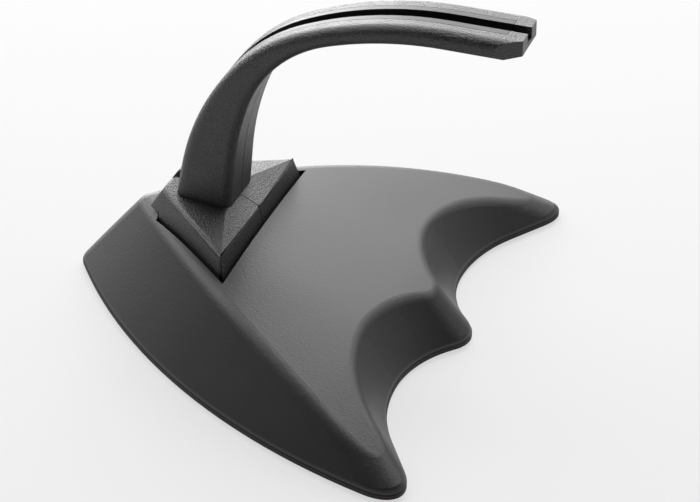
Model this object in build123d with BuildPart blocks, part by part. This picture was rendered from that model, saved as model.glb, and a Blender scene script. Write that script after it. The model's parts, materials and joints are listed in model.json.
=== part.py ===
"""Mouse bungee: a weighted fan-shaped base, a faceted foot and a C-shaped arm with a lead channel.

Millimetres, +Z up, +X towards the prongs. The part is mirrored across the XZ plane, and its origin
is the middle of its footprint, on the surface that it stands on.
"""
from math import acos, cos, radians, sin, sqrt, tan
import os

from build123d import *

# Overall
overall_length = 103.7
pad_stand = 0.6

# Base: plan outline, walls and crowned top
side_radius = 155.1
side_centre_y = 92.43
skirt_height = 1.4
wall_draft = 32.5
crown_x = -25.75
crown_z = 21.6
crown_radius = 184.0
cross_radius = 400.0
cross_turn = 30.0
apex_round = 4.0
prong_round = 6.8
middle_round = 8.0
crown_round = 3.5
inner_round = 0.4

# Base: the two scallops between the prongs
scallop_x = 32.0
scallop_y = 22.5
scallop_inner_radius = 25.0
scallop_outer_radius = 34.0
scallop_flare = 34.0

# Base: shell, plate, ballast and pads
cover_wall = 3.0
crown_wall = 2.6
flange_thickness = 1.0
spigot_height = 2.0
spigot_clearance = 0.2
ballast_thickness = 6.0
ballast_clearance = 0.6
ballast_front_x = 15.0
ballast_round = 4.0
pad_radius = 7.0
pad_recess = 1.0
pad_clearance = 0.2
pad_bevel = 0.3
pad_names = ["pad_back", "pad_front", "pad_near", "pad_far"]
boss_radius = 3.2
boss_clearance = 0.4
pilot_spare = 0.5

# Screws
screw_radius = 1.25
screw_play = 0.2
thread_play = 0.05
plate_head_radius = 2.4
plate_head_height = 1.4
plate_screw_length = 9.0
foot_head_radius = 2.5
foot_head_height = 1.8
foot_screw_length = 8.5
back_screw_inset = 16.85
middle_screw_x = 23.0
prong_screw_x = 20.0
prong_screw_y = 37.0
foot_screw_places = [(-14.0, 15.0), (-22.0, 8.5)]

# Foot
foot_floor = 17.5
foot_seat = 2.5
foot_play = 0.2
seat_rim = 2.5
foot_draft = 10.0
foot_front_x = -6.75
foot_front_half = 24.3
foot_wall_angle = 36.0
rim_front_z = 24.5
front_facet_angle = 27.5
roof_back_x = -28.2
roof_back_z = 28.1
roof_arm_z = 27.1
tail_angle = 55.0
tail_length = 3.6
tail_gap_x = -29.15
tail_gap_z = 22.3
rim_bevel = 0.7
corner_bevel = 0.8
seam_width = 0.2
seam_depth = 0.15

# Arm: side profile, width and edges
arm_foot_z = 24.0
arm_top_z = 79.3
arm_tip_depth = 4.55
arm_back_level_x = 36.02
arm_back_lean = 10.87
arm_back_radii = [58.66, 39.88, 80.78]
arm_back_turns = [29.1, 26.16]
arm_front_level_x = 35.65
arm_front_lean = 5.23
arm_front_radii = [65.2, 28.91, 79.21]
arm_front_turns = [15.55, 50.63]
arm_half = 7.15
arm_outer_round = 2.1
arm_inner_round = 2.0
chin_length = 5.7
chin_angle = 11.0
tip_taper = 5.2
tip_half = 4.8

# Lead channel
groove_width = 3.0
groove_depth = 2.4
channel_width = 6.2
channel_depth = 3.2
channel_play = 0.1
channel_foot_z = 33.0
channel_tip_gap = 3.8
lead_bend = 10.2
lead_exit = 30.0
lead_run = 20.0

# Locating pins between the arm halves
pin_radius = 1.2
pin_length = 4.0
pin_play = 0.1
pin_places = [(-15.5, 35.0), (-12.8, 46.0), (-12.5, 21.0), (-22.0, 21.0)]

# Worked-out places
back_x = -overall_length / 2
tip_x = overall_length / 2
plate_screw_places = [
    (back_x + back_screw_inset, 0.0),
    (middle_screw_x, 0.0),
    (prong_screw_x, -prong_screw_y),
    (prong_screw_x, prong_screw_y),
]
apex_half_angle = acos(side_centre_y / side_radius)
wall_reach = cos(radians(wall_draft))
apex_spread = sqrt(1 - (wall_reach * cos(apex_half_angle)) ** 2)
apex_vertex_x = back_x - apex_round * (1 - apex_spread) / (wall_reach * sin(apex_half_angle))
side_centre_x = apex_vertex_x + sqrt(side_radius**2 - side_centre_y**2)
reach = 2 * overall_length
spare = 1.0
wall_slope = tan(radians(wall_draft))
foot_slope = tan(radians(foot_draft))
skirt_z = pad_stand + skirt_height
flange_top = pad_stand + flange_thickness
plate_top = flange_top + spigot_height
pad_ceiling = pad_stand + pad_recess
seat_underside = foot_floor - foot_seat
under_z = arm_top_z - arm_tip_depth
rim_front_x = foot_front_x - (rim_front_z - foot_floor) * foot_slope
roof_arm_x = rim_front_x - (roof_arm_z - rim_front_z) / tan(radians(front_facet_angle))
tail_tip_z = roof_back_z - tail_length * tan(radians(tail_angle))
tail_floor_x = roof_back_x - tail_length - (tail_tip_z - foot_floor) * foot_slope

cross_normal = (0, -cos(radians(cross_turn)), -sin(radians(cross_turn)))
cross_start = Plane((0, 0, crown_z - cross_radius), (1, 0, 0), cross_normal)

STANDING = (Align.CENTER, Align.CENTER, Align.MIN)

os.makedirs("parts", exist_ok=True)


def scallop_outline(step, side):
    """Plan outline of the scoop between two prongs, its walls set back by step."""
    deepest = (scallop_x - step, side * scallop_y)
    inner = JernArc(deepest, (0, -side), scallop_inner_radius + step, side * 90)
    outer = JernArc(deepest, (0, side), scallop_outer_radius + step, -side * scallop_flare)
    flare = Line(outer @ 1, outer @ 1 + (outer % 1) * overall_length)
    corner = (reach, (flare @ 1).Y)
    Polyline(flare @ 1, corner, (reach, (inner @ 1).Y), inner @ 1)


def fan_block(floor_z, inset):
    """The fan with its leaning walls set in by inset, from floor_z to a level top at crown_z."""
    step = inset + (floor_z - skirt_z) * wall_slope
    height = crown_z - floor_z
    top_step = step + height * wall_slope
    with BuildPart() as block:
        with Locations((side_centre_x, side_centre_y, floor_z)):
            Cone(side_radius - step, side_radius - top_step, height, align=STANDING)
        with Locations((side_centre_x, -side_centre_y, floor_z)):
            Cone(side_radius - step, side_radius - top_step, height, align=STANDING, mode=Mode.INTERSECT)
        for side in (-1, 1):
            with BuildSketch(Plane.XY.offset(floor_z)):
                with BuildLine():
                    scallop_outline(step, side)
                make_face()
            with BuildSketch(Plane.XY.offset(crown_z)):
                with BuildLine():
                    scallop_outline(top_step, side)
                make_face()
            loft(ruled=True, mode=Mode.SUBTRACT)
    return block.part


def rounded_fan(floor_z, inset):
    """The fan block with its ridges rounded, at the apex, at the outer prongs and at the middle prong."""
    with BuildPart() as fan:
        add(fan_block(floor_z, inset))
        fillet(ridges(fan).sort_by(Axis.X)[0], radius=max(apex_round - inset, inner_round))
        prong_ridges = ridges(fan).sort_by(Axis.Y)
        fillet([prong_ridges[0], prong_ridges[-1]], radius=max(prong_round - inset, inner_round))
        middle_ridge = ridges(fan).sort_by_distance((tip_x, 0, 0))[0]
        fillet(middle_ridge, radius=max(middle_round - inset, inner_round))
    return fan.part


def under_crown(part, drop):
    """The portion of part under the crown, which curves both along and across and is lowered by drop."""
    with BuildPart() as lower:
        with BuildSketch(cross_start):
            with Locations((crown_x, cross_radius - crown_radius)):
                Circle(crown_radius - drop)
            with Locations((crown_x, cross_radius)):
                Rectangle(reach, reach, mode=Mode.INTERSECT)
        revolve(axis=Axis(cross_start.origin, (-1, 0, 0)), revolution_arc=2 * cross_turn)
        add(part, mode=Mode.INTERSECT)
    return lower.part


def cut_level(part, z, keep):
    """The portion of part on one side of the level z."""
    with BuildPart() as portion:
        add(part)
        split(bisect_by=Plane.XY.offset(z), keep=keep)
    return portion.part


def ridges(part):
    """The rising edges of the fan, from the apex to the prongs."""
    return part.edges().filter_by(lambda edge: edge.bounding_box().size.Z > (crown_z - skirt_z) / 2)


def foot_outline(play, tail_x):
    """Plan outline of the foot at its floor, grown by play and closed at tail_x."""
    slant = radians(foot_wall_angle)
    front = foot_front_x + play
    back = tail_x - play
    front_half = foot_front_half + play * (1 / cos(slant) + tan(slant))
    back_half = front_half - (front - back) * tan(slant)
    Polyline((front, -front_half), (front, front_half), (back, back_half), (back, -back_half), close=True)


def foot_wall_point(x, z):
    """The point of the foot's near wall at the given x and height."""
    lean = (z - foot_floor) * foot_slope
    slant = radians(foot_wall_angle)
    return Vector(x, -foot_front_half + (foot_front_x - x) * tan(slant) + lean / cos(slant), z)


def stem_heading(lean):
    """The direction in which a long edge of the arm rises from the foot in side view."""
    return Vector(sin(radians(lean)), cos(radians(lean)))


def bend_leans(lean, turns):
    """The lean of a long edge of the arm at both ends of its three arcs, the last of which ends level."""
    return [lean, lean + turns[0], lean + turns[0] + turns[1], 90]


def stem_length(lean, radii, turns, level_z):
    """How long the straight stem is below the three arcs, so that the edge ends level at level_z."""
    sines = [sin(radians(angle)) for angle in bend_leans(lean, turns)]
    rise = sum(radius * (last - first) for radius, first, last in zip(radii, sines, sines[1:]))
    return (level_z - arm_foot_z - rise) / cos(radians(lean))


def stem_x(level_x, lean, radii, turns, level_z):
    """Where a long edge of the arm that turns level at level_x starts on the foot."""
    cosines = [cos(radians(angle)) for angle in bend_leans(lean, turns)]
    run = sum(radius * (first - last) for radius, first, last in zip(radii, cosines, cosines[1:]))
    return level_x - run - stem_length(lean, radii, turns, level_z) * sin(radians(lean))


# Where the arm's two long edges start on the foot
arm_back_x = stem_x(arm_back_level_x, arm_back_lean, arm_back_radii, arm_back_turns, arm_top_z)
arm_front_x = stem_x(arm_front_level_x, arm_front_lean, arm_front_radii, arm_front_turns, under_z)


def stem_foot(foot_x, lean, outset):
    """The start of a long edge of the arm in side view, moved by outset towards the arm's back."""
    heading = stem_heading(lean)
    return Vector(foot_x - outset * heading.Y, arm_foot_z + outset * heading.X)


def arm_edge(foot_x, lean, radii, turns, level_z, outset):
    """A long edge of the arm in side view: a straight stem, and three arcs that bring it level at level_z.

    The edge is moved by outset towards the arm's back and top. Returns the stem and the last arc.
    """
    foot = stem_foot(foot_x, lean, outset)
    stem = Line(foot, foot + stem_heading(lean) * stem_length(lean, radii, turns, level_z))
    leans = bend_leans(lean, turns)
    curve = stem
    for radius, first, last in zip(radii, leans, leans[1:]):
        curve = JernArc(curve @ 1, curve % 1, radius + outset, first - last)
    return stem, curve


def arm_back_edge(outset):
    """The arm's back and top in side view, moved out by outset."""
    return arm_edge(arm_back_x, arm_back_lean, arm_back_radii, arm_back_turns, arm_top_z, outset)


def arm_front_edge(inset):
    """The arm's front and underside in side view, moved into the arm by inset."""
    return arm_edge(arm_front_x, arm_front_lean, arm_front_radii, arm_front_turns, under_z, inset)


def edge_strip(depth, half_width, foot_z, end_x):
    """A strip along the arm's back and top, sunk to depth, from foot_z up and along to end_x."""
    with BuildPart() as strip:
        with BuildSketch(Plane.XZ):
            with BuildLine():
                stem, level = arm_back_edge(-depth)
                Polyline(
                    level @ 1,
                    (end_x, (level @ 1).Y),
                    (end_x, arm_top_z + spare),
                    (arm_back_x - spare, arm_top_z + spare),
                    (arm_back_x - spare, (stem @ 0).Y),
                    stem @ 0,
                )
            make_face()
        extrude(amount=half_width, both=True)
        split(bisect_by=Plane.XY.offset(foot_z), keep=Keep.TOP)
    return strip.part


def channel_band(play):
    """The strip that the lead channel fills, grown by play at its sides and ends."""
    end_x = tip_x - channel_tip_gap + play
    return edge_strip(channel_depth, channel_width / 2 + play, channel_foot_z - play, end_x)


# Outer form of the base
with BuildPart() as base_form:
    add(under_crown(rounded_fan(skirt_z, 0), 0))
    fillet(base_form.faces().sort_by(Axis.Z)[-1].edges(), radius=crown_round)
    extrude(base_form.faces().sort_by(Axis.Z)[0], amount=skirt_height)

# Base cover: a shell with screw bosses, and a seat and a pocket for the foot
with BuildPart() as cover_inside:
    for place in plate_screw_places:
        with Locations((*place, plate_top)):
            Cylinder(boss_radius, crown_z - plate_top, align=STANDING)
    with BuildSketch(Plane.XY.offset(seat_underside)):
        with BuildLine():
            foot_outline(foot_play + seat_rim, tail_gap_x)
        make_face()
    extrude(amount=crown_z - seat_underside)
    add(under_crown(fan_block(flange_top, cover_wall / 2), crown_wall / 2), mode=Mode.INTERSECT)
with BuildPart() as base_cover:
    add(cut_level(base_form.part, flange_top, Keep.TOP))
    add(under_crown(rounded_fan(flange_top, cover_wall), crown_wall), mode=Mode.SUBTRACT)
    add(cover_inside.part)
    with BuildSketch(Plane.XY.offset(foot_floor)):
        with BuildLine():
            foot_outline(foot_play, tail_gap_x)
        make_face()
    extrude(amount=crown_z, mode=Mode.SUBTRACT)
    for place in plate_screw_places:
        with Locations((*place, plate_top)):
            Cylinder(
                screw_radius + thread_play,
                pad_ceiling + plate_screw_length + pilot_spare - plate_top,
                align=STANDING,
                mode=Mode.SUBTRACT,
            )
    for x, y in foot_screw_places:
        with Locations((x, y, seat_underside), (x, -y, seat_underside)):
            Cylinder(screw_radius + screw_play, foot_seat, align=STANDING, mode=Mode.SUBTRACT)
base_cover.part.label = "base_cover"
export_step(base_cover.part, "parts/base_cover.step")

# Base plate: a flange under the cover's wall, a spigot inside it, and recesses for the pads
with BuildPart() as base_plate:
    add(cut_level(base_form.part, flange_top, Keep.BOTTOM))
    spigot = under_crown(rounded_fan(flange_top, cover_wall + spigot_clearance), crown_wall + spigot_clearance)
    add(cut_level(spigot, plate_top, Keep.BOTTOM))
    for place in plate_screw_places:
        with Locations((*place, pad_stand)):
            Cylinder(pad_radius + pad_clearance, pad_recess, align=STANDING, mode=Mode.SUBTRACT)
        with Locations((*place, pad_ceiling)):
            Cone(plate_head_radius, screw_radius, plate_head_height, align=STANDING, mode=Mode.SUBTRACT)
            Cylinder(screw_radius + screw_play, plate_top - pad_ceiling, align=STANDING, mode=Mode.SUBTRACT)
base_plate.part.label = "base_plate"
export_step(base_plate.part, "parts/base_plate.step")

# Ballast: a flat steel plate inside the cover's walls, lying on the base plate around a boss
with BuildPart() as ballast_weight:
    ballast_step = cover_wall + ballast_clearance + (plate_top + ballast_thickness - skirt_z) * wall_slope
    with BuildSketch(Plane.XY.offset(plate_top)):
        with Locations((side_centre_x, side_centre_y)):
            Circle(side_radius - ballast_step)
        with Locations((side_centre_x, -side_centre_y)):
            Circle(side_radius - ballast_step, mode=Mode.INTERSECT)
        with Locations((ballast_front_x, 0)):
            Rectangle(reach, reach, align=(Align.MAX, Align.CENTER), mode=Mode.INTERSECT)
        fillet(vertices(), radius=ballast_round)
        with Locations(*plate_screw_places):
            Circle(boss_radius + boss_clearance, mode=Mode.SUBTRACT)
    extrude(amount=ballast_thickness)
ballast_weight.part.label = "ballast_weight"
export_step(ballast_weight.part, "parts/ballast_weight.step")

# Rubber pads, each over the head of a plate screw
for name, place in zip(pad_names, plate_screw_places):
    with BuildPart() as pad:
        with Locations((*place, 0)):
            Cylinder(pad_radius, pad_ceiling, align=STANDING)
        chamfer(pad.edges().sort_by(Axis.Z)[0], length=pad_bevel)
    pad.part.label = name
    export_step(pad.part, f"parts/{name}.step")

# Flat-head screws from the plate up into the cover's bosses
with BuildPart() as plate_screws:
    for place in plate_screw_places:
        with Locations((*place, pad_ceiling)):
            Cone(plate_head_radius, screw_radius, plate_head_height, align=STANDING)
            Cylinder(screw_radius, plate_screw_length, align=STANDING)
plate_screws.part.label = "plate_screws"
export_step(plate_screws.part, "parts/plate_screws.step")

# Pan-head screws from the cover's seat up into the foot
with BuildPart() as foot_screws:
    for x, y in foot_screw_places:
        with Locations((x, y, seat_underside), (x, -y, seat_underside)):
            Cylinder(screw_radius, foot_screw_length, align=STANDING)
        with Locations((x, y, seat_underside - foot_head_height), (x, -y, seat_underside - foot_head_height)):
            Cylinder(foot_head_radius, foot_head_height, align=STANDING)
foot_screws.part.label = "foot_screws"
export_step(foot_screws.part, "parts/foot_screws.step")

# One side of the arm: a bent bar, drawn in side view, with rounded long edges
with BuildPart() as arm_side:
    with BuildSketch(Plane.XZ):
        with BuildLine():
            back_stem, back_level = arm_back_edge(0)
            front_stem, front_level = arm_front_edge(0)
            Polyline(back_level @ 1, (tip_x, arm_top_z), (tip_x, under_z), front_level @ 1)
            Line(front_stem @ 0, back_stem @ 0)
        make_face()
    extrude(amount=arm_half)
    top_edge = arm_side.edges().sort_by_distance((tip_x - spare, -arm_half, arm_top_z))[0]
    fillet(top_edge, radius=arm_outer_round)
    under_edge = arm_side.edges().sort_by_distance((tip_x - spare, -arm_half, under_z))[0]
    fillet(under_edge, radius=arm_inner_round)
    with BuildSketch(Plane.XZ):
        with BuildLine():
            Polyline(
                (tip_x - chin_length, under_z),
                (tip_x, under_z + chin_length * tan(radians(chin_angle))),
                (tip_x, under_z - spare),
                (tip_x - chin_length, under_z - spare),
                close=True,
            )
        make_face()
    extrude(amount=arm_half, mode=Mode.SUBTRACT)
    taper_normal = (arm_half - tip_half, -tip_taper, 0)
    split(bisect_by=Plane((tip_x, -tip_half, 0), (0, 0, 1), taper_normal), keep=Keep.BOTTOM)
with BuildPart() as arm_body:
    add(arm_side.part)
    mirror(about=Plane.XZ)

# The foot: a drafted block under a front facet, two side facets and a sloping tail
with BuildPart() as foot_body:
    with BuildSketch(Plane.XY.offset(foot_floor)):
        with BuildLine():
            foot_outline(0, tail_floor_x)
        make_face()
    extrude(amount=arm_foot_z, taper=foot_draft)
    front_tilt = radians(front_facet_angle)
    front_normal = (sin(front_tilt), 0, cos(front_tilt))
    split(bisect_by=Plane((rim_front_x, 0, rim_front_z), (0, 1, 0), front_normal), keep=Keep.BOTTOM)
    corner = foot_wall_point(rim_front_x, rim_front_z)
    roof_back = foot_wall_point(roof_back_x, roof_back_z)
    roof_arm = Vector(roof_arm_x, -arm_half, roof_arm_z)
    facet = (roof_arm - corner).cross(roof_back - corner)
    for side in (1, -1):
        facet_origin = (corner.X, side * corner.Y, corner.Z)
        facet_normal = (facet.X, side * facet.Y, facet.Z)
        split(bisect_by=Plane(facet_origin, z_dir=facet_normal), keep=Keep.BOTTOM)
    tail_tilt = radians(tail_angle)
    tail_normal = (-sin(tail_tilt), 0, cos(tail_tilt))
    split(bisect_by=Plane((roof_back_x, 0, roof_back_z), (0, 1, 0), tail_normal), keep=Keep.BOTTOM)
    with Locations((tail_gap_x, 0, tail_gap_z)):
        Box(reach, reach, reach, align=(Align.MAX, Align.CENTER, Align.MAX), mode=Mode.SUBTRACT)
    rim_near = (corner + roof_back) / 2
    corner_near = foot_wall_point((foot_front_x + rim_front_x) / 2, (foot_floor + rim_front_z) / 2)
    for side in (1, -1):
        rim_edge = foot_body.edges().sort_by_distance((rim_near.X, side * rim_near.Y, rim_near.Z))[0]
        chamfer(rim_edge, length=rim_bevel)
    for side in (1, -1):
        corner_point = (corner_near.X, side * corner_near.Y, corner_near.Z)
        chamfer(foot_body.edges().sort_by_distance(corner_point)[0], length=corner_bevel)

# The lead's way: a slot along the arm's back and top that bends out through the foot's tail
with BuildPart() as lead_slot:
    add(edge_strip(groove_depth, groove_width / 2, channel_foot_z, tip_x + spare))
    with BuildSketch(Plane.XZ):
        with BuildLine():
            foot = stem_foot(arm_back_x, arm_back_lean, -groove_depth)
            heading = stem_heading(arm_back_lean)
            leave = foot + heading * ((channel_foot_z - foot.Y) / heading.Y)
            bend = JernArc(leave, heading * -1, lead_bend, arm_back_lean + lead_exit - 90)
            run = Line(bend @ 1, bend @ 1 + (bend % 1) * lead_run)
            Polyline(run @ 1, ((run @ 1).X, channel_foot_z), leave)
        make_face()
    extrude(amount=groove_width / 2, both=True)

# The seam's groove, up the foot's front and along the arm's front and underside
with BuildPart() as seam_groove:
    with BuildSketch(Plane.XZ):
        with Locations((arm_back_x, foot_floor)):
            Rectangle(overall_length, arm_top_z - foot_floor, align=(Align.MIN, Align.MIN))
        with BuildLine():
            stem, level = arm_front_edge(seam_depth)
            chin_z = under_z + seam_depth
            Polyline(
                level @ 1,
                (tip_x - chin_length, chin_z),
                (tip_x + spare, chin_z + (chin_length + spare) * tan(radians(chin_angle))),
                (tip_x + spare, arm_top_z + spare),
                (arm_back_x - spare, arm_top_z + spare),
                (arm_back_x - spare, (stem @ 0).Y),
                stem @ 0,
            )
        make_face(mode=Mode.SUBTRACT)
        with BuildLine():
            facet_rise = (rim_front_x - arm_back_x + spare) * tan(radians(front_facet_angle))
            Polyline(
                (arm_back_x - spare, foot_floor - spare),
                (foot_front_x - seam_depth + spare * foot_slope, foot_floor - spare),
                (rim_front_x - seam_depth, rim_front_z - seam_depth),
                (arm_back_x - spare, rim_front_z - seam_depth + facet_rise),
                close=True,
            )
        make_face(mode=Mode.SUBTRACT)
    extrude(amount=seam_width / 2, both=True)

# Arm and foot as one form, cut for the lead and its channel
with BuildPart() as arm_form:
    add(arm_body.part)
    add(foot_body.part)
    add(channel_band(channel_play), mode=Mode.SUBTRACT)
    add(lead_slot.part, mode=Mode.SUBTRACT)
    add(seam_groove.part, mode=Mode.SUBTRACT)
    for x, y in foot_screw_places:
        with Locations((x, y, foot_floor), (x, -y, foot_floor)):
            Cylinder(
                screw_radius + thread_play,
                foot_screw_length - foot_seat + pilot_spare,
                align=STANDING,
                mode=Mode.SUBTRACT,
            )

# Near half, with sockets for the pins
with BuildPart() as arm_half_near:
    add(arm_form.part)
    split(bisect_by=Plane.XZ, keep=Keep.TOP)
    with BuildSketch(Plane.XZ):
        with Locations(*pin_places):
            Circle(pin_radius + pin_play)
    extrude(amount=pin_length + pin_play, mode=Mode.SUBTRACT)
arm_half_near.part.label = "arm_half_near"
export_step(arm_half_near.part, "parts/arm_half_near.step")

# Far half, with the pins
with BuildPart() as arm_half_far:
    add(arm_form.part)
    split(bisect_by=Plane.XZ, keep=Keep.BOTTOM)
    with BuildSketch(Plane.XZ):
        with Locations(*pin_places):
            Circle(pin_radius)
    extrude(amount=pin_length)
arm_half_far.part.label = "arm_half_far"
export_step(arm_half_far.part, "parts/arm_half_far.step")

# Lead channel: an inlay that lines the slot along the arm
with BuildPart() as cable_channel:
    add(arm_body.part)
    add(channel_band(0), mode=Mode.INTERSECT)
    add(lead_slot.part, mode=Mode.SUBTRACT)
cable_channel.part.label = "cable_channel"
export_step(cable_channel.part, "parts/cable_channel.step")
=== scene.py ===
"""Looks of a mouse bungee: soft-touch base, grained arm and foot, rubber pads, in a pale studio.

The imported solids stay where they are, in metres, +Z up, +X towards the prongs. Each sub-assembly is a
class that builds the pieces that stand for some of its solids and dresses the others. The studio
around them is a floor, softboxes and a camera.
"""
from __future__ import annotations

import json
import logging
import math
from dataclasses import dataclass
from enum import Enum
from typing import Any

import bmesh
import bpy
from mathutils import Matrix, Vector

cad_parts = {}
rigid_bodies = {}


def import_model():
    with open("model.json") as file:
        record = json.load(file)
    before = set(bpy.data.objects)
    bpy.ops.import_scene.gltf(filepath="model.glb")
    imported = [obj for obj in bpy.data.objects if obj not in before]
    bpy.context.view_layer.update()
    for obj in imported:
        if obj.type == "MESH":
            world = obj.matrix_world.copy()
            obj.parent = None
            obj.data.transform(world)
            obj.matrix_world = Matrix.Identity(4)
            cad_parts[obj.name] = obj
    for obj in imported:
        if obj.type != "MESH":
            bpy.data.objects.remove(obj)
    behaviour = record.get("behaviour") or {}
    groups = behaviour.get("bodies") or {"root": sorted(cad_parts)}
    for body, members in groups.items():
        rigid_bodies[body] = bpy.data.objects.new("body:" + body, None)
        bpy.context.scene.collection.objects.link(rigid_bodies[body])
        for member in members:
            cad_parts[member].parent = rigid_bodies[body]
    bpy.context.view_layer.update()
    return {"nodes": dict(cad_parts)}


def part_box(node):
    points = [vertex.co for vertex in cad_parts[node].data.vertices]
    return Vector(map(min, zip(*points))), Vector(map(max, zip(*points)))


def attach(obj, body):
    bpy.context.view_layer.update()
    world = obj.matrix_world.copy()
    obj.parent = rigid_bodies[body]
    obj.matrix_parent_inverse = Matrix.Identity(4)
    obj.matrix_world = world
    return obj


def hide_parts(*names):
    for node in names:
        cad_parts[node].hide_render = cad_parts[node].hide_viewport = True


LOGGER = logging.getLogger("mouse_bungee")
BODY = "root"

# The picture's width in pixels, and the camera's sensor in millimetres.
IMAGE_WIDTH = 700
SENSOR_WIDTH = 36.0

# Points nearer than MERGE become one, and edges shorter than SLIVER are cleared, in metres.
MERGE = 1e-6
SLIVER = 1e-5

# The layer that carries a solid's own corner normals through a change of its mesh.
SHADING = "solid_normal"

# The distance between nodes on a sheet.
NODE_STEP = 220

# Most of a noise's values lie between NOISE_LOW and NOISE_HIGH. A detail counts its finer layers.
NOISE_LOW = 0.3
NOISE_HIGH = 0.7
NOISE_ROUGHNESS = 0.55
DRIFT_DETAIL = 3.0
GRAIN_DETAIL = 2.0
STREAK_DETAIL = 3.0

# The colour sockets of a Mix node, which share their names with its other sockets.
MIX_FIRST = 6
MIX_SECOND = 7
MIX_RESULT = 2

WHITE = (1.0, 1.0, 1.0, 1.0)

Point = tuple[float, float, float]
Solids = dict[str, bpy.types.Object]
Socket = bpy.types.NodeSocket


class Shade(Enum):
    """Base colours of the finishes and the floor, in linear values."""

    CHARCOAL = (0.030, 0.030, 0.031)
    BLACK = (0.012, 0.012, 0.0122)
    CHANNEL = (0.018, 0.018, 0.0185)
    PLATE = (0.020, 0.020, 0.0205)
    RUBBER = (0.016, 0.016, 0.016)
    ZINC = (0.52, 0.52, 0.53)
    PAPER = (0.20, 0.20, 0.20)


class NodeSheet:
    """A node tree, laid out from right to left as nodes are added."""

    def __init__(self, tree: bpy.types.NodeTree) -> None:
        """Takes a tree to fill.

        Args:
            tree: The tree of a material or of Geometry Nodes.
        """
        self.tree = tree

    def add(self, kind: str, **settings: Any) -> bpy.types.Node:
        """Adds a node to the left of the last one.

        Args:
            kind: The node's type.
            settings: Properties of the node, or values of its inputs by name with _ for a space.

        Returns:
            The new node.
        """
        node = self.tree.nodes.new(kind)
        node.location = ((1 - len(self.tree.nodes)) * NODE_STEP, 0)
        for key, value in settings.items():
            socket = key.replace("_", " ")
            if socket in node.inputs:
                node.inputs[socket].default_value = value
            else:
                setattr(node, key, value)
        return node

    def wire(self, node: bpy.types.Node, **sources: Socket) -> bpy.types.Node:
        """Joins output sockets to a node's inputs.

        Args:
            node: The node that they lead to.
            sources: The output sockets, each by its input's name with _ for a space.

        Returns:
            The node.
        """
        for key, source in sources.items():
            self.tree.links.new(source, node.inputs[key.replace("_", " ")])
        return node


class FinishSheet(NodeSheet):
    """A material's node tree, around a Principled shader."""

    def __init__(self, name: str) -> None:
        """Makes a material with nothing but its shader.

        Args:
            name: The material's name.
        """
        self.material = bpy.data.materials.new(name)
        self.material.use_nodes = True
        super().__init__(self.material.node_tree)
        self.tree.nodes.clear()
        output = self.add("ShaderNodeOutputMaterial")
        self.shader = self.add("ShaderNodeBsdfPrincipled")
        self.wire(output, Surface=self.shader.outputs["BSDF"])

    def fix(self, **values: Any) -> None:
        """Sets what is the same all over the surface.

        Args:
            values: Values of the shader's inputs, by name with _ for a space.
        """
        for key, value in values.items():
            self.shader.inputs[key.replace("_", " ")].default_value = value

    def noise(self, place: Socket, pitch: float, detail: float) -> Socket:
        """Adds noise in the object's own coordinates.

        Args:
            place: The coordinates that it reads.
            pitch: The size of its larger spots, in metres.
            detail: How many finer layers it has.

        Returns:
            The socket of the noise's value.
        """
        made = self.add(
            "ShaderNodeTexNoise", Scale=1.0 / pitch, Detail=detail, Roughness=NOISE_ROUGHNESS
        )
        return self.wire(made, Vector=place).outputs["Fac"]

    def spread(self, value: Socket, low: float, high: float) -> Socket:
        """Stretches the middle of a noise over a range.

        Args:
            value: The noise.
            low: The result at NOISE_LOW and below.
            high: The result at NOISE_HIGH and above.

        Returns:
            The socket of the stretched value.
        """
        made = self.add(
            "ShaderNodeMapRange", From_Min=NOISE_LOW, From_Max=NOISE_HIGH, To_Min=low, To_Max=high
        )
        return self.wire(made, Value=value).outputs["Result"]

    def relief(self, height: Socket, strength: float, distance: float) -> None:
        """Gives the surface fine relief.

        Args:
            height: The socket of the relief's height.
            strength: How strongly it turns the light.
            distance: What a height of 1 stands for, in metres.
        """
        bump = self.add("ShaderNodeBump", Strength=strength, Distance=distance)
        self.wire(bump, Height=height)
        self.wire(self.shader, Normal=bump.outputs["Normal"])


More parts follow.
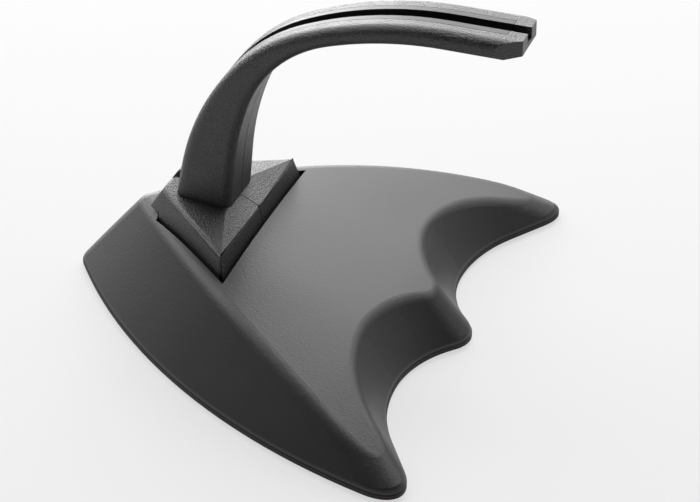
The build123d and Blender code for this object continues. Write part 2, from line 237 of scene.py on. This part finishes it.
@dataclass(frozen=True)
class MouldedPlastic:
    """A moulded surface: fine grain in its relief, painted glints of that grain in its colour, and a
    slow drift in its colour and gloss.

    Attributes:
        name: The material's name.
        shade: Its mean colour.
        drift: The share by which the colour drifts each way.
        drift_pitch: The size of the drifting patches, in metres.
        roughness: Its mean roughness.
        roughness_drift: How far the roughness drifts each way.
        grain_pitch: The size of the grain, in metres.
        grain_height: The grain's height, in metres.
        grain_strength: How strongly the grain turns the light.
        painted_glint: The share by which the grain lightens and darkens the colour, as painted glints
            that stand in for the light the grain catches.
        specular: The level of its mirror-like light.
    """

    name: str
    shade: Shade
    drift: float
    drift_pitch: float
    roughness: float
    roughness_drift: float
    grain_pitch: float
    grain_height: float
    grain_strength: float
    painted_glint: float = 0.0
    specular: float = 0.5

    def tone(self, share: float) -> tuple[float, ...]:
        """The mean colour times a share, opaque."""
        return (*(part * share for part in self.shade.value), 1.0)

    def material(self) -> bpy.types.Material:
        """Builds the material.

        Returns:
            The new material.
        """
        sheet = FinishSheet(self.name)
        place = sheet.add("ShaderNodeTexCoord").outputs["Object"]
        slow = sheet.noise(place, self.drift_pitch, DRIFT_DETAIL)
        grain = sheet.noise(place, self.grain_pitch, GRAIN_DETAIL)
        tint = sheet.add("ShaderNodeMix", data_type="RGBA")
        tint.inputs[MIX_FIRST].default_value = self.tone(1.0 - self.drift)
        tint.inputs[MIX_SECOND].default_value = self.tone(1.0 + self.drift)
        sheet.wire(tint, Factor=sheet.spread(slow, 0.0, 1.0))
        # The grain's flecks in the colour are painted glints, standing in for the light that the grain
        # catches.
        glint_flecks = sheet.spread(grain, 1.0 - self.painted_glint, 1.0 + self.painted_glint)
        tone_and_glints = sheet.add("ShaderNodeVectorMath", operation="SCALE")
        sheet.wire(tone_and_glints, Vector=tint.outputs[MIX_RESULT], Scale=glint_flecks)
        low = self.roughness - self.roughness_drift
        high = self.roughness + self.roughness_drift
        gloss = sheet.spread(slow, low, high)
        sheet.wire(sheet.shader, Base_Color=tone_and_glints.outputs["Vector"], Roughness=gloss)
        sheet.relief(grain, self.grain_strength, self.grain_height)
        sheet.fix(Specular_IOR_Level=self.specular)
        return sheet.material


@dataclass(frozen=True)
class PlatedSteel:
    """Zinc-plated steel with a faint rolled streak.

    Attributes:
        name: The material's name.
        shade: Its colour.
        roughness: Its mean roughness.
        roughness_drift: How far the roughness drifts each way.
        streak_pitch: The distance between streaks, in metres.
        streak_stretch: How many times longer than wide a streak is.
        streak_height: The streaks' height, in metres.
        streak_strength: How strongly the streaks turn the light.
    """

    name: str
    shade: Shade
    roughness: float
    roughness_drift: float
    streak_pitch: float
    streak_stretch: float
    streak_height: float
    streak_strength: float

    def material(self) -> bpy.types.Material:
        """Builds the material.

        Returns:
            The new material.
        """
        sheet = FinishSheet(self.name)
        place = sheet.add("ShaderNodeTexCoord").outputs["Object"]
        stretch = sheet.add("ShaderNodeMapping", Scale=(1.0 / self.streak_stretch, 1.0, 1.0))
        sheet.wire(stretch, Vector=place)
        streak = sheet.noise(stretch.outputs["Vector"], self.streak_pitch, STREAK_DETAIL)
        low = self.roughness - self.roughness_drift
        high = self.roughness + self.roughness_drift
        sheet.wire(sheet.shader, Roughness=sheet.spread(streak, low, high))
        sheet.relief(streak, self.streak_strength, self.streak_height)
        sheet.fix(Base_Color=(*self.shade.value, 1.0), Metallic=1.0)
        return sheet.material


SOFT_TOUCH = MouldedPlastic(
    name="soft_touch_charcoal",
    shade=Shade.CHARCOAL,
    drift=0.06,
    drift_pitch=0.018,
    roughness=0.45,
    roughness_drift=0.02,
    grain_pitch=0.0006,
    grain_height=0.0001,
    grain_strength=0.5,
)
GRAINED_BLACK = MouldedPlastic(
    name="grained_black",
    shade=Shade.BLACK,
    drift=0.08,
    drift_pitch=0.006,
    roughness=0.38,
    roughness_drift=0.03,
    grain_pitch=0.00036,
    grain_height=0.00027,
    grain_strength=0.95,
    # Painted glints: the grain lightens and darkens the colour.
    painted_glint=0.6,
    specular=0.75,
)
PLATE_BLACK = MouldedPlastic(
    name="plate_black",
    shade=Shade.PLATE,
    drift=0.08,
    drift_pitch=0.006,
    roughness=0.6,
    roughness_drift=0.03,
    grain_pitch=0.0006,
    grain_height=0.00006,
    grain_strength=0.35,
    specular=0.25,
)
CHANNEL_BLACK = MouldedPlastic(
    name="channel_black",
    shade=Shade.CHANNEL,
    drift=0.05,
    drift_pitch=0.006,
    roughness=0.42,
    roughness_drift=0.02,
    grain_pitch=0.0006,
    grain_height=0.00004,
    grain_strength=0.25,
)
PAD_RUBBER = MouldedPlastic(
    name="pad_rubber",
    shade=Shade.RUBBER,
    drift=0.10,
    drift_pitch=0.004,
    roughness=0.75,
    roughness_drift=0.05,
    grain_pitch=0.0008,
    grain_height=0.00008,
    grain_strength=0.5,
)
ZINC_STEEL = PlatedSteel(
    name="zinc_steel",
    shade=Shade.ZINC,
    roughness=0.38,
    roughness_drift=0.08,
    streak_pitch=0.0006,
    streak_stretch=12.0,
    streak_height=0.00005,
    streak_strength=0.15,
)


def dress(nodes: Solids, names: tuple[str, ...], material: bpy.types.Material) -> None:
    """Gives solids their finish, in every material slot.

    Args:
        nodes: The frame's solids by name.
        names: The solids to dress.
        material: The finish that they share.
    """
    for name in names:
        for slot in nodes[name].material_slots:
            slot.material = material
        LOGGER.info("dressed %s in %s", name, material.name)


def add_object(name: str, data: bpy.types.ID) -> bpy.types.Object:
    """Puts a mesh, lamp or camera into the scene, at the origin.

    Args:
        name: The object's name.
        data: The mesh, lamp or camera.

    Returns:
        The new object.
    """
    made = bpy.data.objects.new(name, data)
    bpy.context.scene.collection.objects.link(made)
    return made


def settle(piece: bpy.types.Object) -> None:
    """Turns a piece's modifiers into its plain mesh.

    Args:
        piece: The piece, which keeps its name.
    """
    bpy.context.view_layer.update()
    shown = piece.evaluated_get(bpy.context.evaluated_depsgraph_get())
    mesh = bpy.data.meshes.new_from_object(shown)
    start = piece.data
    piece.modifiers.clear()
    piece.data = mesh
    bpy.data.meshes.remove(start)
    mesh.name = piece.name


def stand_for(piece: bpy.types.Object, node: str) -> None:
    """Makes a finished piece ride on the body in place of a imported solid.

    Args:
        piece: The piece.
        node: The solid's name.
    """
    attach(piece, BODY)
    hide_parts(node)
    LOGGER.info("built %s with %d faces", piece.name, len(piece.data.polygons))


@dataclass(frozen=True)
class ShownCopy:
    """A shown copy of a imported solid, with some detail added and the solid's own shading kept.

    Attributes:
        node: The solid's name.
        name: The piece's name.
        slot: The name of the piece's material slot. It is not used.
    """

    node: str
    name: str
    slot: str

    def shape(self, work: bmesh.types.BMesh) -> None:
        """Adds the detail.

        Args:
            work: The solid's merged mesh.
        """
        raise NotImplementedError

    @staticmethod
    def keep_shading(mesh: bpy.types.Mesh) -> None:
        """Notes a mesh's corner normals in a layer of their own.

        Args:
            mesh: A copy of the solid's mesh.
        """
        values = [0.0] * (3 * len(mesh.loops))
        mesh.corner_normals.foreach_get("vector", values)
        mesh.attributes.new(SHADING, "FLOAT_VECTOR", "CORNER").data.foreach_set("vector", values)

    @staticmethod
    def set_shading(mesh: bpy.types.Mesh) -> None:
        """Gives a mesh the corner normals of the layer, and drops the layer.

        Args:
            mesh: The shaped mesh. A corner with no normal gets the mesh's own.
        """
        layer = mesh.attributes[SHADING]
        normals = [Vector(corner.vector).normalized() for corner in layer.data]
        mesh.attributes.remove(layer)
        mesh.shade_smooth()
        mesh.normals_split_custom_set(normals)

    def build(self, nodes: Solids, material: bpy.types.Material) -> None:
        """Makes the piece from a copy of its solid.

        Args:
            nodes: The frame's solids by name.
            material: The piece's finish.
        """
        source = nodes[self.node].data.copy()
        self.keep_shading(source)
        work = bmesh.new()
        work.from_mesh(source)
        bpy.data.meshes.remove(source)
        bmesh.ops.remove_doubles(work, verts=work.verts, dist=MERGE)
        self.shape(work)
        mesh = bpy.data.meshes.new(self.name)
        work.to_mesh(mesh)
        work.free()
        self.set_shading(mesh)
        mesh.materials.append(material)
        stand_for(add_object(self.name, mesh), self.node)


@dataclass(frozen=True)
class CoverShell(ShownCopy):
    """The cover, with its lower edge rounded in over the plate's lip.

    Attributes:
        lip_top: The height of the joint with the plate, in metres.
        fold: The height above which the wall leans in, in metres.
        draft: The wall's lean, in degrees.
        radius: The radius of the rounded edge, in metres.
        steps: How many strips the round has.
        wall_low: How far a wall face may look down, as its normal's height.
        wall_high: How far a wall face may look up, as its normal's height.
    """

    node: str = "base_cover"
    name: str = "cover_shell"
    slot: str = "soft_touch"
    lip_top: float = 0.0016
    fold: float = 0.0020
    draft: float = 32.5
    radius: float = 0.0022
    steps: int = 6
    wall_low: float = -0.1
    wall_high: float = 0.9

    @property
    def round_top(self) -> float:
        """The height where the round meets the leaning wall."""
        return self.lip_top + self.radius * math.sin(math.radians(self.draft))

    def wall_inset(self, height: float) -> float:
        """How far the solid's wall lies inside its foot at a height."""
        return max(height - self.fold, 0.0) * math.tan(math.radians(self.draft))

    def round_lean(self, height: float) -> float:
        """The rounded wall's lean at a height, in radians."""
        return math.asin(min(max((height - self.lip_top) / self.radius, 0.0), 1.0))

    def round_inset(self, height: float) -> float:
        """How far the rounded wall lies inside the solid's foot at a height."""
        fall = math.cos(self.round_lean(height)) - math.cos(math.radians(self.draft))
        return self.wall_inset(self.round_top) - self.radius * fall

    def cut_strips(self, work: bmesh.types.BMesh) -> None:
        """Cuts level lines along the lower edge.

        Args:
            work: The cover's merged mesh.
        """
        for step in range(1, self.steps + 1):
            share = step / self.steps
            level = (0, 0, self.lip_top + (self.round_top - self.lip_top) * share)
            parts = [*work.verts, *work.edges, *work.faces]
            bmesh.ops.bisect_plane(work, geom=parts, dist=MERGE, plane_co=level, plane_no=(0, 0, 1))

    def shape(self, work: bmesh.types.BMesh) -> None:
        """Draws the strips of the lower edge in to the round.

        Args:
            work: The cover's merged mesh.
        """
        self.cut_strips(work)
        work.normal_update()
        shading = work.loops.layers.float_vector[SHADING]
        moves = []
        for vert in work.verts:
            height = vert.co.z
            if not self.lip_top - MERGE < height < self.round_top - MERGE:
                continue
            wall = [
                corner
                for corner in vert.link_loops
                if self.wall_low < corner.face.normal.z < self.wall_high
            ]
            outward = sum((corner[shading] for corner in wall), Vector((0.0, 0.0, 0.0)))
            outward.z = 0.0
            if outward.length == 0.0:
                continue
            outward.normalize()
            moves.append((vert, outward * (self.wall_inset(height) - self.round_inset(height))))
            lean = self.round_lean(height)
            for corner in wall:
                corner[shading] = outward * math.cos(lean) + Vector((0.0, 0.0, math.sin(lean)))
        for vert, move in moves:
            vert.co += move


@dataclass(frozen=True)
class RoundedHalf(ShownCopy):
    """One half of the arm, with the ridges between its foot's facets rounded.

    Attributes:
        foot_top: The height below which ridges belong to the foot, in metres.
        shortest: The length of the shortest ridge that is rounded, in metres.
        least: The smallest turn across a ridge, in degrees.
        most: The largest turn across a ridge, in degrees.
        offset: How far the round reaches into each facet, in metres.
        segments: How many strips the round has.
        profile: How full the round is. A half makes it circular.
    """

    slot: str = "arm_plastic"
    foot_top: float = 0.0295
    shortest: float = 0.003
    least: float = 30.0
    most: float = 70.0
    offset: float = 0.0005
    segments: int = 4
    profile: float = 0.5

    def is_ridge(self, edge: bmesh.types.BMEdge) -> bool:
        """Says whether an edge is a ridge to round.

        Args:
            edge: An edge of the half's merged mesh.

        Returns:
            True for a long, low, outward edge whose facets turn by the right amount.
        """
        turn = math.degrees(edge.calc_face_angle(0.0))
        low = max(vert.co.z for vert in edge.verts) < self.foot_top
        long = edge.calc_length() > self.shortest
        return low and long and edge.is_convex and self.least < turn < self.most

    def shape(self, work: bmesh.types.BMesh) -> None:
        """Rounds the foot's ridges.

        Args:
            work: The half's merged mesh.
        """
        work.normal_update()
        ridges = [edge for edge in work.edges if self.is_ridge(edge)]
        made = bmesh.ops.bevel(
            work,
            geom=ridges,
            offset=self.offset,
            offset_type="OFFSET",
            segments=self.segments,
            profile=self.profile,
            affect="EDGES",
            clamp_overlap=True,
        )
        # The rounds get the mesh's own normals, as every corner with none does.
        shading = work.loops.layers.float_vector[SHADING]
        for face in made["faces"]:
            for corner in face.loops:
                corner[shading] = (0.0, 0.0, 0.0)
        bmesh.ops.dissolve_degenerate(work, dist=SLIVER, edges=work.edges)
        wide = [face for face in work.faces if len(face.verts) > 3]
        bmesh.ops.triangulate(work, faces=wide, quad_method="BEAUTY", ngon_method="BEAUTY")
        LOGGER.info("rounded %d ridges of %s", len(ridges), self.node)


class ScrewTree(NodeSheet):
    """Geometry Nodes that stand one threaded screw on each point of a mesh, head down.

    Attributes:
        SIZES: The names of a screw's sizes.
        HEAD_SIDES: How many sides the head has.
        CORE_SIDES: How many sides the shank's core has.
        TURN_STEPS: How many steps one turn of the thread has.
        THREAD_SIDES: How many sides the thread's strip has.
        BAR_LENGTH: The length of a recess's bar, in head radii.
        BAR_DEPTHS: The depths of its two bars, in drive depths. Half of each is outside the head, and
            they differ, because the cut leaves holes where two floors are level.
        THREAD_START: Where the thread starts beyond the neck, in thread heights.
    """

    SIZES = (
        "Head Radius",
        "Neck Radius",
        "Head Height",
        "Length",
        "Core Radius",
        "Thread Radius",
        "Turns",
        "Drive Width",
        "Drive Depth",
    )
    HEAD_SIDES = 40
    CORE_SIDES = 32
    TURN_STEPS = 20
    THREAD_SIDES = 3
    BAR_LENGTH = 1.1
    BAR_DEPTHS = (2.0, 1.8)
    THREAD_START = 1.5

    def __init__(self) -> None:
        """Builds the node tree."""
        super().__init__(bpy.data.node_groups.new("threaded_screw", "GeometryNodeTree"))
        self.ids: dict[str, str] = {}
        self.declare("Geometry", "NodeSocketGeometry")
        for label in self.SIZES:
            self.declare(label, "NodeSocketFloat")
        self.declare("Material", "NodeSocketMaterial")
        self.tree.interface.new_socket("Geometry", in_out="OUTPUT", socket_type="NodeSocketGeometry")
        self.given = self.add("NodeGroupInput")
        self.lay_out()

    def declare(self, label: str, kind: str) -> None:
        """Gives the tree an input, and notes its identifier.

        Args:
            label: The input's name.
            kind: Its socket's type.
        """
        made = self.tree.interface.new_socket(label, in_out="INPUT", socket_type=kind)
        self.ids[label] = made.identifier

    def size(self, label: str) -> Socket:
        """The socket of one of the screw's sizes."""
        return self.given.outputs[label]

    def maths(self, operation: str, first: Socket, second: Socket | float) -> Socket:
        """Works out one number from two.

        Args:
            operation: The Math node's operation.
            first: The first number's socket.
            second: The second number, or its socket.

        Returns:
            The socket of the result.
        """
        node = self.add("ShaderNodeMath", operation=operation)
        self.tree.links.new(first, node.inputs[0])
        if isinstance(second, Socket):
            self.tree.links.new(second, node.inputs[1])
        else:
            node.inputs[1].default_value = second
        return node.outputs[0]

    def lifted(self, shape: Socket, height: Socket) -> Socket:
        """Raises a shape.

        Args:
            shape: The shape's socket.
            height: The socket of the height that it is raised by.

        Returns:
            The socket of the raised shape.
        """
        up = self.wire(self.add("ShaderNodeCombineXYZ"), Z=height)
        move = self.wire(self.add("GeometryNodeTransform"), Geometry=shape, Translation=up.outputs[0])
        return move.outputs["Geometry"]

    def head(self) -> Socket:
        """Makes the head with its cross recess.

        Returns:
            The socket of the head, with its outer face at height 0.
        """
        cone = self.add("GeometryNodeMeshCone", Vertices=self.HEAD_SIDES)
        self.wire(
            cone,
            Radius_Bottom=self.size("Head Radius"),
            Radius_Top=self.size("Neck Radius"),
            Depth=self.size("Head Height"),
        )
        width = self.size("Drive Width")
        reach = self.maths("MULTIPLY", self.size("Head Radius"), self.BAR_LENGTH)
        deep, shallow = (
            self.maths("MULTIPLY", self.size("Drive Depth"), depths) for depths in self.BAR_DEPTHS
        )
        shape = cone.outputs["Mesh"]
        for long_x, long_y, depth in ((reach, width, deep), (width, reach, shallow)):
            box = self.wire(self.add("ShaderNodeCombineXYZ"), X=long_x, Y=long_y, Z=depth)
            bar = self.wire(self.add("GeometryNodeMeshCube"), Size=box.outputs[0])
            cut = self.add("GeometryNodeMeshBoolean", operation="DIFFERENCE")
            self.wire(cut, Mesh_1=shape, Mesh_2=bar.outputs["Mesh"])
            shape = cut.outputs["Mesh"]
        return shape

    def shank(self) -> Socket:
        """Makes the core of the shank.

        Returns:
            The socket of the core, which runs from the neck to the tip.
        """
        core = self.add("GeometryNodeMeshCylinder", Vertices=self.CORE_SIDES)
        run = self.maths("SUBTRACT", self.size("Length"), self.size("Head Height"))
        self.wire(core, Radius=self.size("Core Radius"), Depth=run)
        ends = self.maths("ADD", self.size("Length"), self.size("Head Height"))
        return self.lifted(core.outputs["Mesh"], self.maths("MULTIPLY", ends, 0.5))

    def thread(self) -> Socket:
        """Winds the thread on the core.

        Returns:
            The socket of the thread, a strip that runs from beyond the neck to the tip.
        """
        spiral = self.add("GeometryNodeCurveSpiral", Resolution=self.TURN_STEPS)
        ridge = self.maths("SUBTRACT", self.size("Thread Radius"), self.size("Core Radius"))
        room = self.maths("MULTIPLY", ridge, self.THREAD_START)
        start = self.maths("ADD", self.size("Head Height"), room)
        climb = self.maths("SUBTRACT", self.size("Length"), self.maths("ADD", start, ridge))
        self.wire(
            spiral,
            Rotations=self.size("Turns"),
            Start_Radius=self.size("Core Radius"),
            End_Radius=self.size("Core Radius"),
            Height=climb,
        )
        profile = self.add("GeometryNodeCurvePrimitiveCircle", Resolution=self.THREAD_SIDES)
        self.wire(profile, Radius=ridge)
        strip = self.add("GeometryNodeCurveToMesh", Fill_Caps=True)
        self.wire(strip, Curve=spiral.outputs["Curve"], Profile_Curve=profile.outputs["Curve"])
        return self.lifted(strip.outputs["Mesh"], start)

    def lay_out(self) -> None:
        """Joins the shapes of one screw and stands a copy on each point."""
        whole = self.add("GeometryNodeJoinGeometry")
        for shape in (self.thread(), self.shank(), self.head()):
            self.wire(whole, Geometry=shape)
        copies = self.add("GeometryNodeInstanceOnPoints")
        self.wire(copies, Points=self.given.outputs["Geometry"], Instance=whole.outputs[0])
        real = self.wire(self.add("GeometryNodeRealizeInstances"), Geometry=copies.outputs[0])
        finish = self.add("GeometryNodeSetMaterial")
        self.wire(finish, Geometry=real.outputs[0], Material=self.given.outputs["Material"])
        self.wire(self.add("NodeGroupOutput"), Geometry=finish.outputs[0])


@dataclass(frozen=True)
class ScrewSet:
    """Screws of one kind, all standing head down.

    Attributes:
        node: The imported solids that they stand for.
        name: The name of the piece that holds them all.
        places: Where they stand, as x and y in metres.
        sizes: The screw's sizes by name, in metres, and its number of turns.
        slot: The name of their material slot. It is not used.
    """

    node: str
    name: str
    places: tuple[tuple[float, float], ...]
    sizes: dict[str, float]
    slot: str = "screw_steel"

    def build(self, tree: ScrewTree, material: bpy.types.Material) -> None:
        """Makes the screws.

        Args:
            tree: The node tree of a screw.
            material: Their finish.
        """
        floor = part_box(self.node)[0][2]
        mesh = bpy.data.meshes.new(self.name)
        mesh.from_pydata([(x, y, floor) for x, y in self.places], [], [])
        piece = add_object(self.name, mesh)
        maker = piece.modifiers.new("screws", "NODES")
        maker.node_group = tree.tree
        for label, value in self.sizes.items():
            maker[tree.ids[label]] = value
        maker[tree.ids["Material"]] = material
        settle(piece)
        stand_for(piece, self.node)


PLATE_SCREWS = ScrewSet(
    node="plate_screws",
    name="plate_screws_threaded",
    places=((-0.035, 0.0), (0.023, 0.0), (0.020, -0.037), (0.020, 0.037)),
    sizes={
        "Head Radius": 0.0024,
        "Neck Radius": 0.00125,
        "Head Height": 0.0014,
        "Length": 0.009,
        "Core Radius": 0.00095,
        "Thread Radius": 0.00125,
        "Turns": 7.0,
        "Drive Width": 0.0006,
        "Drive Depth": 0.0009,
    },
)
FOOT_SCREWS = ScrewSet(
    node="foot_screws",
    name="foot_screws_threaded",
    places=((-0.014, -0.015), (-0.014, 0.015), (-0.022, -0.0085), (-0.022, 0.0085)),
    sizes={
        "Head Radius": 0.0023,
        "Neck Radius": 0.0025,
        "Head Height": 0.0018,
        "Length": 0.0103,
        "Core Radius": 0.00095,
        "Thread Radius": 0.00125,
        "Turns": 8.0,
        "Drive Width": 0.0006,
        "Drive Depth": 0.0010,
    },
)


@dataclass(frozen=True)
class Base:
    """The weighted base: soft-touch cover, plate, ballast, pads and screws.

    Attributes:
        shell: The piece that stands for the cover.
        screws: The screws of the plate and of the foot.
        plate: The bottom plate.
        ballast: The steel slab on the plate.
        pads: The rubber pads under the plate.
    """

    shell: CoverShell = CoverShell()
    screws: tuple[ScrewSet, ...] = (PLATE_SCREWS, FOOT_SCREWS)
    plate: tuple[str, ...] = ("base_plate",)
    ballast: tuple[str, ...] = ("ballast_weight",)
    pads: tuple[str, ...] = ("pad_back", "pad_front", "pad_near", "pad_far")

    def build(self, nodes: Solids) -> None:
        """Makes the shell and the screws, and gives the other solids their finishes.

        Args:
            nodes: The frame's solids by name.
        """
        self.shell.build(nodes, SOFT_TOUCH.material())
        tree = ScrewTree()
        steel = ZINC_STEEL.material()
        for screws in self.screws:
            screws.build(tree, steel)
        dress(nodes, self.plate, PLATE_BLACK.material())
        dress(nodes, self.ballast, steel)
        dress(nodes, self.pads, PAD_RUBBER.material())


@dataclass(frozen=True)
class Arm:
    """The arm and foot in two halves, and the channel along their outer edge.

    Attributes:
        halves: The pieces that stand for the two halves.
        channel: The channel strip.
    """

    halves: tuple[RoundedHalf, ...] = (
        RoundedHalf("arm_half_near", "arm_near_rounded"),
        RoundedHalf("arm_half_far", "arm_far_rounded"),
    )
    channel: tuple[str, ...] = ("cable_channel",)

    def build(self, nodes: Solids) -> None:
        """Makes the rounded halves, and gives the channel its finish.

        Args:
            nodes: The frame's solids by name.
        """
        grained = GRAINED_BLACK.material()
        for half in self.halves:
            half.build(nodes, grained)
        dress(nodes, self.channel, CHANNEL_BLACK.material())


def towards(turn: float, rise: float) -> Vector:
    """The direction from the part to something around it.

    Args:
        turn: Degrees about +Z, 0 on the near side and 90 on the prongs' side.
        rise: Degrees above the floor.

    Returns:
        A unit vector.
    """
    turned = math.radians(turn)
    risen = math.radians(rise)
    across = math.cos(risen)
    return Vector((math.sin(turned) * across, -math.cos(turned) * across, math.sin(risen)))


def face_part(item: bpy.types.Object, aim: Point, way: Vector, distance: float) -> None:
    """Places a lamp or camera so that it faces a point of the part.

    Args:
        item: The lamp or camera.
        aim: The point that it faces.
        way: The direction from that point to it.
        distance: How far it is from that point, in metres.
    """
    item.location = Vector(aim) + way * distance
    item.rotation_euler = (-way).to_track_quat("-Z", "Y").to_euler()


@dataclass(frozen=True)
class Softbox:
    """A square soft light that faces the part.

    Attributes:
        name: The light's name.
        turn: Where it stands, in degrees about +Z from the near side.
        rise: Its height, in degrees above the floor.
        watts: Its power.
    """

    name: str
    turn: float
    rise: float
    watts: float


@dataclass(frozen=True)
class Studio:
    """The floor, the softboxes and the surroundings.

    Attributes:
        floor_size: The floor's width, in metres.
        floor_roughness: The floor's roughness.
        floor_specular: The level of the floor's mirror-like light.
        floor_glow: The floor's own light.
        surround_glow: The light of the surroundings.
        aim: The point that the softboxes face.
        box_size: A softbox's width, in metres.
        box_distance: How far a softbox stands from the aim, in metres.
        boxes: The softboxes.
    """

    floor_size: float = 6.0
    floor_roughness: float = 0.9
    floor_specular: float = 0.1
    floor_glow: float = 0.62
    surround_glow: float = 0.02
    aim: Point = (0.0, 0.0, 0.03)
    box_size: float = 0.45
    box_distance: float = 0.9
    boxes: tuple[Softbox, ...] = (
        Softbox("back_low", 180, 12, 1.16),
        Softbox("back_left_low", 210, 12, 5.31),
        Softbox("left_back_low", 240, 12, 2.84),
        Softbox("right_back", 120, 35, 1.15),
        Softbox("back_right", 150, 35, 1.16),
        Softbox("back", 180, 35, 2.22),
        Softbox("left", 270, 35, 1.35),
        Softbox("left_back", 256, 48, 1.80),
        Softbox("back_high", 180, 60, 4.29),
        Softbox("back_left_high", 225, 60, 1.56),
    )

    def build_floor(self) -> None:
        """Lays the pale floor."""
        half = self.floor_size / 2
        mesh = bpy.data.meshes.new("floor")
        corners = [(-half, -half, 0), (half, -half, 0), (half, half, 0), (-half, half, 0)]
        mesh.from_pydata(corners, [], [(0, 1, 2, 3)])
        floor = add_object("floor", mesh)
        sheet = FinishSheet("pale_floor")
        sheet.fix(
            Base_Color=(*Shade.PAPER.value, 1.0),
            Roughness=self.floor_roughness,
            Specular_IOR_Level=self.floor_specular,
            Emission_Color=WHITE,
            Emission_Strength=self.floor_glow,
        )
        mesh.materials.append(sheet.material)
        LOGGER.info("floor laid")

    def build_lights(self) -> None:
        """Hangs the softboxes."""
        for box in self.boxes:
            data = bpy.data.lights.new(box.name, "AREA")
            data.shape = "SQUARE"
            data.size = self.box_size
            data.energy = box.watts
            lamp = add_object(box.name, data)
            face_part(lamp, self.aim, towards(box.turn, box.rise), self.box_distance)
            LOGGER.info("softbox %s at %g W", box.name, box.watts)

    def build_world(self) -> None:
        """Sets a pale surrounding that adds little light of its own."""
        world = bpy.data.worlds.new("surroundings")
        world.use_nodes = True
        backdrop = world.node_tree.nodes["Background"]
        backdrop.inputs["Color"].default_value = WHITE
        backdrop.inputs["Strength"].default_value = self.surround_glow
        bpy.context.scene.world = world

    def build(self) -> None:
        """Builds the whole studio."""
        self.build_floor()
        self.build_lights()
        self.build_world()
        bpy.context.scene.view_settings.view_transform = "Standard"


@dataclass(frozen=True)
class ViewCamera:
    """The camera, at the photograph's angle.

    Attributes:
        turn: Where it stands, in degrees about +Z from the near side.
        rise: Its height, in degrees above the floor.
        distance: How far it is from the aim, in metres.
        aim: The point in the middle of the picture.
        focal: The focal length, in pixels of the picture's width.
        nearest: The least distance that it shows, in metres.
        farthest: The greatest distance that it shows, in metres.
    """

    turn: float = 20.213
    rise: float = 33.357
    distance: float = 0.58067
    aim: Point = (0.004095, 0.024972, 0.0)
    focal: float = 2506.56
    nearest: float = 0.01
    farthest: float = 20.0

    def build(self) -> None:
        """Places the camera and makes it the scene's own."""
        data = bpy.data.cameras.new("view")
        data.sensor_fit = "HORIZONTAL"
        data.sensor_width = SENSOR_WIDTH
        data.lens = SENSOR_WIDTH * self.focal / IMAGE_WIDTH
        data.clip_start = self.nearest
        data.clip_end = self.farthest
        camera = add_object("view", data)
        face_part(camera, self.aim, towards(self.turn, self.rise), self.distance)
        bpy.context.scene.camera = camera
        LOGGER.info("camera placed")


def main() -> None:
    """Loads the frame, dresses the part and sets up the studio."""
    logging.basicConfig(level=logging.INFO, format="%(name)s: %(message)s")
    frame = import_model()
    Base().build(frame["nodes"])
    Arm().build(frame["nodes"])
    Studio().build()
    ViewCamera().build()


if __name__ == "__main__":
    main()
